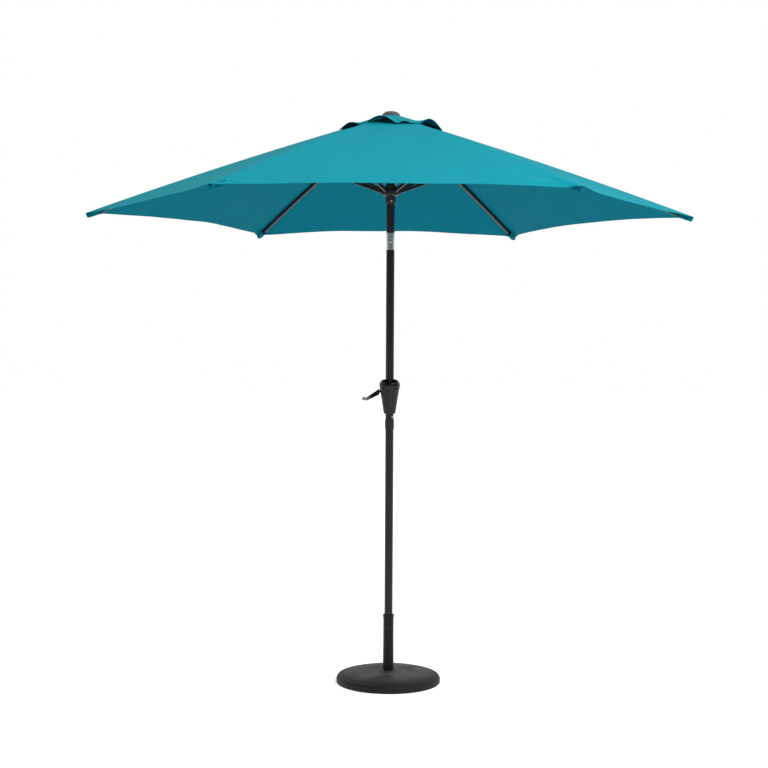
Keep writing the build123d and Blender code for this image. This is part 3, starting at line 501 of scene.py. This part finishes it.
def pocket_shape(rib_number):
    """The two functions that sewn_shell needs for one pocket, from edge to edge under the rib."""
    azimuth = radians(60 * (rib_number - 1))
    outward, sideways = Vector((cos(azimuth), sin(azimuth), 0)), Vector((-sin(azimuth), cos(azimuth), 0))
    along = outward * cos(rib_slope) - Vector((0, 0, sin(rib_slope)))
    upward = outward * sin(rib_slope) + Vector((0, 0, cos(rib_slope)))
    hinge = outward * hinge_circle + Vector((0, 0, hub_height))
    end = (corner_reach - hinge_circle) / cos(rib_slope) - end_inset

    def place(column, row):
        share, closing = min(row / 0.9, 1), max((row - 0.9) / 0.1, 0) * pi / 2
        run = end - pocket_length + (pocket_length - end_wall) * share + end_wall * sin(closing)
        half_width = pocket_mouth + (pocket_end - pocket_mouth) * share ** 0.8
        side = (1 - 2 * column) * half_width * (0.9 + 0.1 * cos(closing))
        slack = 1 + 0.12 * (1 - eased(share / 0.3))
        sleeve = 1 - eased((abs(side) / (sleeve_half_width * slack) - 1) / (0.35 - 0.15 * eased(share)))
        hang = 0.0011 + (0.225 - 0.125 * eased((share - 0.5) / 0.4)) * abs(side)
        depth = hang + (sleeve_depth * slack - 0.0011) * sleeve * cos(closing) ** 0.6
        top = bow_at(run) + rib_half_depth + cloth_over_rib - cloth_thickness / 2
        return hinge + along * run + upward * (top - depth) + sideways * side

    def band(column, row):
        from_hem = pocket_length * row
        from_side = pocket_mouth * (1 - abs(1 - 2 * column))
        thickness = cloth_thickness + (fold_thickness if from_hem < 0.007 else 0)
        return thickness, from_side, from_hem, column * 2 * pocket_mouth, from_hem

    return place, band


pocket_columns = [step / 36 for step in range(37)]
pocket_rows = [0, 0.02, 0.09, 0.11] + [0.11 + 0.79 * step / 16 for step in range(1, 17)]
pocket_rows += [0.925, 0.95, 0.97, 0.985, 0.995]
for rib_number in range(1, 7):
    place, band = pocket_shape(rib_number)
    pocket = sewn_shell(
        f"pocket_{rib_number}", pocket_columns, pocket_rows, place, band, (cloth_lining_painted_shade, cloth_lining_painted_shade)
    )
    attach(pocket, f"rib_arm_{rib_number}")

# ------------------------------------------------------------------ rib tapes
# Six narrow tapes of the same cloth go on along the ribs from the vent opening to the round
# patch on the hub, and hold the main cloth in.

tape_half_width = 0.008
tape_start, tape_end = 0.036, 0.168


def tape_shape(rib_number):
    """The two functions that sewn_shell needs for one tape, across and along its rib."""
    azimuth = radians(60 * (rib_number - 1))
    outward, sideways = Vector((cos(azimuth), sin(azimuth), 0)), Vector((-sin(azimuth), cos(azimuth), 0))

    def place(column, row):
        reach = tape_start + (tape_end - tape_start) * row
        height = rib_line(reach) - 0.0002 - 0.0006 * (2 * column - 1) ** 2
        return outward * reach + sideways * tape_half_width * (2 * column - 1) + Vector((0, 0, height))

    def band(column, row):
        edge = tape_half_width * (1 - abs(2 * column - 1))
        return 0.0006, edge, 0.03, column * 2 * tape_half_width, row * (tape_end - tape_start)

    return place, band


for rib_number in range(1, 7):
    place, band = tape_shape(rib_number)
    tape = sewn_shell(
        f"rib_tape_{rib_number}", [step / 6 for step in range(7)], [step / 16 for step in range(17)],
        place, band, (cloth_lining_painted_shade, cloth_lining_painted_shade),
    )
    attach(tape, f"rib_arm_{rib_number}")

# ------------------------------------------------------------------ crown patch
# A hexagonal patch of the same cloth, folded to four layers, lies on the hub. The finial's
# screw goes through its eye.

crown_radius = 0.038
crown_thickness = 0.0022
crown_lift = 0.0021
crown = bmesh.new()
for wall_radius in (crown_radius, cap_eye):
    bmesh.ops.create_cone(
        crown, segments=6, radius1=wall_radius, radius2=wall_radius, depth=crown_thickness, cap_ends=False
    )
upper_edges = [edge for edge in crown.edges if edge.is_boundary and edge.verts[0].co.z > 0]
bmesh.ops.bridge_loops(crown, edges=upper_edges)
bmesh.ops.bridge_loops(crown, edges=[edge for edge in crown.edges if edge.is_boundary])
bmesh.ops.subdivide_edges(crown, edges=crown.edges, cuts=2, use_grid_fill=True)
bmesh.ops.recalc_face_normals(crown, faces=crown.faces)
bmesh.ops.rotate(crown, verts=crown.verts, cent=(0, 0, 0), matrix=Matrix.Rotation(radians(30), 3, "Z"))
bmesh.ops.translate(crown, verts=crown.verts, vec=(0, 0, hub_height + rib_half_depth + crown_lift))
crown_data = bpy.data.meshes.new("crown_patch")
crown.to_mesh(crown_data)
crown.free()
crown_data.materials.append(cloth_lining_painted_shade)
crown_patch = bpy.data.objects.new("crown_patch", crown_data)
bpy.context.scene.collection.objects.link(crown_patch)
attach(crown_patch, "top")

# ------------------------------------------------------------------ finial
# A turned-looking cap moulded in grey-brown polypropylene. It screws down on the vent cap and
# the crown patch, and years of sun leave its top chalky.


def paint(finish, *names):
    """Gives CAD pieces a finish in place of the plain one that they come with."""
    for name in names:
        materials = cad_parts[name].data.materials
        materials.clear()
        materials.append(finish)


def rough_surface(tree, shader, grain, height, strength=0.3, detail=3.0):
    """A fine relief on Object coordinates: the grain in metres, and how high it stands."""
    coords = add_node(tree, "ShaderNodeTexCoord")
    relief = add_node(
        tree,
        "ShaderNodeTexNoise",
        {"Vector": coords.outputs["Object"], "Scale": 1 / grain, "Detail": detail},
    )
    bump = add_node(
        tree, "ShaderNodeBump", {"Strength": strength, "Distance": height, "Height": relief.outputs["Fac"]}
    )
    tree.links.new(bump.outputs["Normal"], shader.inputs["Normal"])
    return coords


def two_tones(tree, shader, mask, low, high):
    """Lets a mask from 0 to 1 choose between two colours for the shader's base colour."""
    tone = add_node(tree, "ShaderNodeMix", {0: mask, 6: linear(low), 7: linear(high)}, data_type="RGBA")
    tree.links.new(tone.outputs[2], shader.inputs["Base Color"])


def blotches(tree, coords, size, low, high, detail=4.0):
    """Soft patches of a size in metres, as a mask that goes from 0 to 1 between two noise levels."""
    noise_node = add_node(
        tree,
        "ShaderNodeTexNoise",
        {"Vector": coords.outputs["Object"], "Scale": 1 / size, "Detail": detail},
    )
    return add_node(
        tree, "ShaderNodeMapRange", {"Value": noise_node.outputs["Fac"], "From Min": low, "From Max": high}
    ).outputs["Result"]


# Polypropylene: satin, with the fine grain of a spark-eroded mould and pale chalking on top.
chalked, chalked_tree, chalked_shader = new_finish("chalked_grey_polypropylene", roughness=0.6, ior=1.49)
chalked_coords = rough_surface(chalked_tree, chalked_shader, grain=0.0012, height=0.0002)
chalk = blotches(chalked_tree, chalked_coords, 0.012, 0.35, 0.65)
two_tones(chalked_tree, chalked_shader, chalk, "3C393B", "524C4D")
paint(chalked, "finial")

# ------------------------------------------------------------------ ribs and stretchers
# Rectangular steel tube, bowed and powder-coated black. Each rib has a stretcher on a nylon
# bracket, and a blunt nylon cap where it goes into the cloth's pocket.

# Powder coat: a low gloss with orange peel of about 2 mm, and a brown bloom of dust in places.
powder, powder_tree, powder_shader = new_finish(
    "black_powder_coat", roughness=0.42, ior=1.5, specular_ior_level=0.35
)
powder_coords = rough_surface(powder_tree, powder_shader, grain=0.002, height=0.00015)
bloom = blotches(powder_tree, powder_coords, 0.06, 0.4, 0.7)
two_tones(powder_tree, powder_shader, bloom, "0A0A0C", "151011")
paint(powder, *[f"{piece}_{number}" for piece in ("rib", "strut") for number in range(1, 7)])

# Glass-filled nylon: near black, with a dull, faintly sparkling skin of about 0.8 mm grain.
nylon, nylon_tree, nylon_shader = new_finish(
    "black_filled_nylon", roughness=0.5, ior=1.53, specular_ior_level=0.3
)
nylon_coords = rough_surface(nylon_tree, nylon_shader, grain=0.0008, height=0.0001)
dulled = blotches(nylon_tree, nylon_coords, 0.02, 0.35, 0.7)
two_tones(nylon_tree, nylon_shader, dulled, "111113", "19181B")
paint(nylon, *[f"{piece}_{number}" for piece in ("rib_tip", "rib_joint") for number in range(1, 7)])

# ------------------------------------------------------------------ hubs and pulley
# The notched top hub and the runner are nylon mouldings. A ring of plated wire goes through
# the eyes of the ribs or the stretchers, and the pulley turns on a plated pin.

# Bright zinc plate on steel: a soft mirror with cloudy patches of about 5 mm.
plated, plated_tree, plated_shader = new_finish("bright_zinc_plate", metallic=1.0)
plated_coords = rough_surface(plated_tree, plated_shader, grain=0.0015, height=0.00004)
plated_clouds = blotches(plated_tree, plated_coords, 0.005, 0.3, 0.7)
two_tones(plated_tree, plated_shader, plated_clouds, "B9BABD", "D2D4D6")
plated_polish = add_node(
    plated_tree, "ShaderNodeMapRange", {"Value": plated_clouds, "To Min": 0.22, "To Max": 0.42}
)
plated_tree.links.new(plated_polish.outputs["Result"], plated_shader.inputs["Roughness"])
paint(nylon, "top_hub", "runner", "pulley")
paint(plated, "hub_ring", "runner_ring", "pulley_axle")

# ------------------------------------------------------------------ runner rivet
# A domed rivet of plated steel that pins the end of the hoisting cord in the runner's sleeve.

rivet_azimuth = radians(278)
rivet_radius = 0.0034
sleeve_radius = 0.022
rivet_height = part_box("runner")[0].z + 0.0145
rivet_out = Vector((cos(rivet_azimuth), sin(rivet_azimuth), 0))
rivet = bmesh.new()
bmesh.ops.create_uvsphere(rivet, u_segments=24, v_segments=12, radius=rivet_radius)
bmesh.ops.bisect_plane(
    rivet,
    geom=rivet.verts[:] + rivet.edges[:] + rivet.faces[:],
    plane_co=(0, 0, 0),
    plane_no=(0, 0, 1),
    clear_inner=True,
)
bmesh.ops.holes_fill(rivet, edges=[edge for edge in rivet.edges if edge.is_boundary])
bmesh.ops.scale(rivet, verts=rivet.verts, vec=(1, 1, 0.62))
bmesh.ops.recalc_face_normals(rivet, faces=rivet.faces)
bmesh.ops.transform(
    rivet,
    verts=rivet.verts,
    matrix=Matrix.Translation(rivet_out * (sleeve_radius - 0.0003) + Vector((0, 0, rivet_height)))
    @ rivet_out.to_track_quat("Z", "Y").to_matrix().to_4x4(),
)
for face in rivet.faces:
    face.smooth = len(face.verts) < 5
rivet_data = bpy.data.meshes.new("runner_rivet")
rivet.to_mesh(rivet_data)
rivet.free()
rivet_data.materials.append(plated)
runner_rivet = bpy.data.objects.new("runner_rivet", rivet_data)
bpy.context.scene.collection.objects.link(runner_rivet)
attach(runner_rivet, "slider")

# ------------------------------------------------------------------ hoisting cord
# A 3 mm braided polyester cord from the spool up inside the pole, over the pulley and down to
# the runner. The braid is drawn with strands 3 mm long, where real ones are 1.5 mm.

braid, braid_tree, braid_shader = new_finish("braided_polyester_cord", roughness=0.8, sheen_weight=0.2)
braid_coords = add_node(braid_tree, "ShaderNodeTexCoord")
strands = [
    add_node(
        braid_tree,
        "ShaderNodeTexWave",
        {
            "Vector": add_node(
                braid_tree,
                "ShaderNodeMapping",
                {"Vector": braid_coords.outputs["Object"], "Rotation": (0, radians(lean), 0)},
            ).outputs["Vector"],
            "Scale": 90.0,
        },
        bands_direction="Z",
    )
    for lean in (40, -40)
]
braided = add_node(
    braid_tree,
    "ShaderNodeMath",
    {0: strands[0].outputs["Fac"], 1: strands[1].outputs["Fac"]},
    operation="MAXIMUM",
)
two_tones(braid_tree, braid_shader, braided.outputs[0], "8E8A83", "CFCBC3")
braid_bump = add_node(
    braid_tree, "ShaderNodeBump", {"Strength": 0.4, "Distance": 0.0003, "Height": braided.outputs[0]}
)
braid_tree.links.new(braid_bump.outputs["Normal"], braid_shader.inputs["Normal"])
paint(braid, "lift_cord_lower", "lift_cord_upper", "lift_cord_fall")

# ------------------------------------------------------------------ pole
# Three lengths of 36 mm steel tube, powder-coated in anthracite with a satin gloss. A plated
# inner tube joins the lower two inside a nylon ring, with a sprung button to lock them.

# Anthracite powder coat: a satin gloss, orange peel of about 3 mm, and faint handling marks.
anthracite, anthracite_tree, anthracite_shader = new_finish(
    "anthracite_powder_coat", ior=1.5, specular_ior_level=0.28
)
anthracite_coords = rough_surface(
    anthracite_tree, anthracite_shader, grain=0.003, height=0.00015, strength=0.25
)
handled = blotches(anthracite_tree, anthracite_coords, 0.09, 0.35, 0.75)
two_tones(anthracite_tree, anthracite_shader, handled, "101012", "18171A")
anthracite_gloss = add_node(
    anthracite_tree, "ShaderNodeMapRange", {"Value": handled, "To Min": 0.30, "To Max": 0.42}
)
anthracite_tree.links.new(anthracite_gloss.outputs["Result"], anthracite_shader.inputs["Roughness"])
paint(anthracite, "lower_pole", "mid_pole", "top_pole")
paint(nylon, "pole_coupler")
paint(plated, "pole_insert", "snap_button")

# ------------------------------------------------------------------ tilting joint
# Two halves of a zinc casting, polished and nickel-plated, turn on stub pins. A flush nylon
# button at the back frees them.

# Nickel plate on a polished casting: almost a mirror, with the long fine lines of the mop.
nickel, nickel_tree, nickel_shader = new_finish("polished_nickel_plate", metallic=1.0)
nickel_coords = add_node(nickel_tree, "ShaderNodeTexCoord")
mopped = add_node(
    nickel_tree, "ShaderNodeMapping", {"Vector": nickel_coords.outputs["Object"], "Scale": (60, 60, 900)}
)
mop_lines = add_node(nickel_tree, "ShaderNodeTexNoise", {"Vector": mopped.outputs["Vector"], "Detail": 3.0})
two_tones(nickel_tree, nickel_shader, mop_lines.outputs["Fac"], "C4C3C1", "E2E1DE")
nickel_polish = add_node(
    nickel_tree, "ShaderNodeMapRange", {"Value": mop_lines.outputs["Fac"], "To Min": 0.10, "To Max": 0.30}
)
nickel_tree.links.new(nickel_polish.outputs["Result"], nickel_shader.inputs["Roughness"])
paint(nickel, "tilt_lower", "tilt_upper")
paint(plated, "tilt_pins")
paint(nylon, "tilt_button")

# ------------------------------------------------------------------ crank
# Two shells of glossy black ABS are screwed together round the pole. The spool's axle carries
# a lever stamped from steel, with its grip end rolled open like a fork.

# ABS: a deep gloss, a soft waviness from the moulding, and small scuffs that dull it.
gloss_abs, abs_tree, abs_shader = new_finish(
    "glossy_black_abs", ior=1.53, specular_ior_level=0.2, coat_weight=0.08, coat_roughness=0.1
)
abs_coords = rough_surface(abs_tree, abs_shader, grain=0.006, height=0.0002, strength=0.15)
scuffs = blotches(abs_tree, abs_coords, 0.014, 0.45, 0.75)
two_tones(abs_tree, abs_shader, scuffs, "09080B", "110F13")
abs_gloss = add_node(abs_tree, "ShaderNodeMapRange", {"Value": scuffs, "To Min": 0.24, "To Max": 0.40})
abs_tree.links.new(abs_gloss.outputs["Result"], abs_shader.inputs["Roughness"])
paint(gloss_abs, "crank_housing_front", "crank_housing_back")

# Blackened zinc: the same plate under a black chromate, a dull dark metal.
blackened, blackened_tree, blackened_shader = new_finish(
    "black_chromate_zinc", metallic=1.0, roughness=0.5
)
blackened_coords = rough_surface(blackened_tree, blackened_shader, grain=0.001, height=0.00004)
tarnish = blotches(blackened_tree, blackened_coords, 0.004, 0.3, 0.7)
two_tones(blackened_tree, blackened_shader, tarnish, "1E1E20", "2C2C2E")
paint(blackened, "housing_screws", "crank_spool")

# Ground steel: grinding lines along the lever, going from near black at its root to bare steel at the grip.
lever_steel, lever_tree, lever_shader = new_finish("ground_lever_steel", metallic=1.0, roughness=0.28)
lever_coords = add_node(lever_tree, "ShaderNodeTexCoord")
ground = add_node(
    lever_tree, "ShaderNodeMapping", {"Vector": lever_coords.outputs["Object"], "Scale": (80, 700, 700)}
)
grinding = add_node(lever_tree, "ShaderNodeTexNoise", {"Vector": ground.outputs["Vector"], "Detail": 2.0})
bare = add_node(
    lever_tree,
    "ShaderNodeMix",
    {0: grinding.outputs["Fac"], 6: linear("6E6F70"), 7: linear("B4B5B4")},
    data_type="RGBA",
)
lever_parts = add_node(lever_tree, "ShaderNodeSeparateXYZ", {"Vector": lever_coords.outputs["Object"]})
towards_grip = add_node(
    lever_tree,
    "ShaderNodeMapRange",
    {"Value": lever_parts.outputs["X"], "From Min": -0.081, "From Max": -0.107},
)
lever_tone = add_node(
    lever_tree,
    "ShaderNodeMix",
    {0: towards_grip.outputs["Result"], 6: linear("1C1C1E"), 7: bare.outputs[2]},
    data_type="RGBA",
)
lever_tree.links.new(lever_tone.outputs[2], lever_shader.inputs["Base Color"])
paint(lever_steel, "crank_lever")

# ------------------------------------------------------------------ base
# A round weight of cast resin and stone dust stands on the floor. An enamelled steel tube is
# bolted to it, and a hand screw clamps the pole in a plastic bush.

# Enamel on steel tube: black and smooth, with pale patches painted where the two bands are, as highlights.
enamel, enamel_tree, enamel_shader = new_finish(
    "black_stove_enamel", roughness=0.38, ior=1.52, specular_ior_level=0.18
)
enamel_coords = rough_surface(enamel_tree, enamel_shader, grain=0.008, height=0.00012, strength=0.2)
enamel_height = add_node(enamel_tree, "ShaderNodeSeparateXYZ", {"Vector": enamel_coords.outputs["Object"]})
band_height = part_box("base_tube")[1].z - 0.057
band_half_width = 0.0045
near_band = add_node(
    enamel_tree,
    "ShaderNodeMath",
    {0: enamel_height.outputs["Z"], 1: band_height, 2: band_half_width},
    operation="COMPARE",
)
# Pale patches in a narrow ring at the bands' height: painted highlights.
band_highlight_patches = add_node(
    enamel_tree,
    "ShaderNodeMath",
    {0: near_band.outputs[0], 1: blotches(enamel_tree, enamel_coords, 0.007, 0.52, 0.66)},
    operation="MULTIPLY",
)
two_tones(enamel_tree, enamel_shader, band_highlight_patches.outputs[0], "070709", "48484A")
paint(enamel, "base_tube")
paint(nylon, "clamp_knob", "tube_collar")
paint(plated, "base_bolt")

# Cast resin: matt, with pits of about 1.5 mm. Its top is mottled from dark brown to paler
# brown-grey, partly its own mottle and partly painted sheen, with grey-green patches that are
# painted sheen, and its sides below 36 mm are painted near black as shade.
cast, cast_tree, cast_shader = new_finish(
    "cast_resin_and_stone", roughness=0.62, ior=1.5, specular_ior_level=0.25
)
cast_coords = rough_surface(cast_tree, cast_shader, grain=0.0025, height=0.0006, strength=0.5)
# Mottle mask: partly the resin's own mottle, partly painted sheen from the overhead light.
stone_mottle_and_sheen = blotches(cast_tree, cast_coords, 0.075, 0.36, 0.68)
warm = add_node(
    cast_tree, "ShaderNodeMix", {0: stone_mottle_and_sheen, 6: linear("1C1819"), 7: linear("484041")}, data_type="RGBA"
)
# Grey-green patches: painted sheen.
green_sheen_mask = blotches(cast_tree, cast_coords, 0.16, 0.48, 0.66)
with_green_sheen = add_node(
    cast_tree, "ShaderNodeMix", {0: green_sheen_mask, 6: warm.outputs[2], 7: linear("3E413C")}, data_type="RGBA"
)
cast_height = add_node(cast_tree, "ShaderNodeSeparateXYZ", {"Vector": cast_coords.outputs["Object"]})
# Near black below 36 mm, the top's colours above 50 mm: painted shade on the sides, painted light on the
# top.
lit_top_mask = add_node(
    cast_tree,
    "ShaderNodeMapRange",
    {"Value": cast_height.outputs["Z"], "From Min": 0.036, "From Max": 0.050},
)
lit_top_shaded_sides = add_node(
    cast_tree,
    "ShaderNodeMix",
    {0: lit_top_mask.outputs["Result"], 6: linear("121214"), 7: with_green_sheen.outputs[2]},
    data_type="RGBA",
)
cast_tree.links.new(lit_top_shaded_sides.outputs[2], cast_shader.inputs["Base Color"])
paint(cast, "base_weight")
